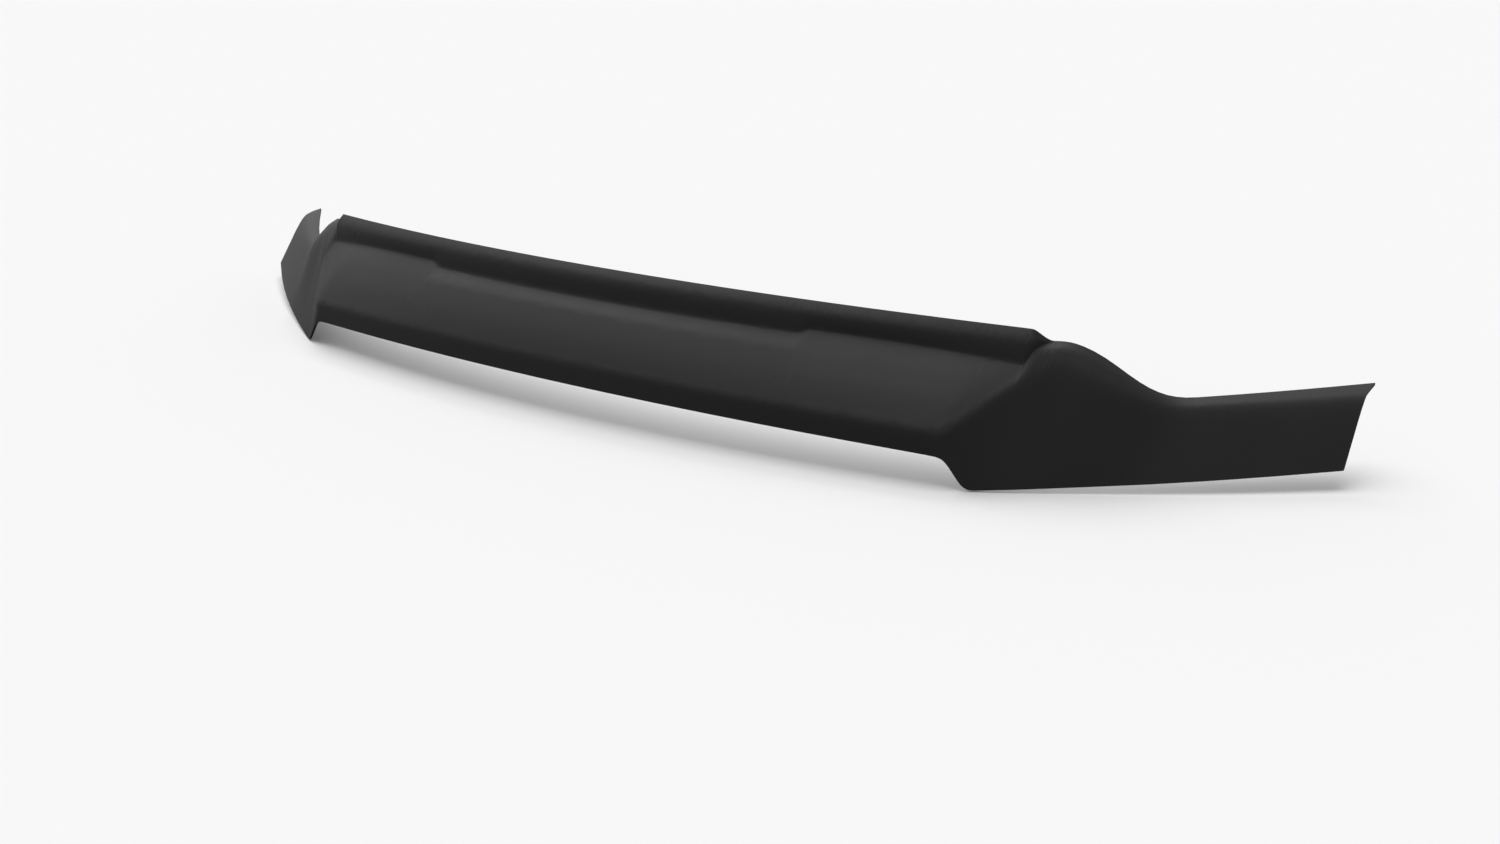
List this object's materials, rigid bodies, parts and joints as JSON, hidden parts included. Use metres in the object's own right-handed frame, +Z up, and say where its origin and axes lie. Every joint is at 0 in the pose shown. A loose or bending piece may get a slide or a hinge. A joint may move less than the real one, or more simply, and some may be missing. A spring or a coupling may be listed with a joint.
{
  "type": "hood bug deflector",
  "caption": "One-piece matte black hood shield for a pickup: upright band, leaning face, raised rear lip, humped shoulders and swept-back wings, held by foam tape strips.",
  "frame": {"origin": "centre of the adhesive face of the upper centre tape strip, on the symmetry plane", "axes": "+X across the vehicle towards the right of a viewer who faces its front, -Y forwards out of the grille, +Z up; symmetric about X = 0"},
  "size_m": [1.638, 0.3662, 0.1634],
  "materials": {
    "textured_sheet": "fine matte grain",
    "foam_tape": "dull"
  },
  "bodies": {
    "root": {"shield": "textured_sheet", "tape_upper_centre": "foam_tape", "tape_upper_right": "foam_tape", "tape_upper_left": "foam_tape", "tape_lower_centre": "foam_tape", "tape_wing_upper_right": "foam_tape", "tape_wing_upper_left": "foam_tape", "tape_wing_lower_right": "foam_tape", "tape_wing_lower_left": "foam_tape"}
  },
  "joints": []
}
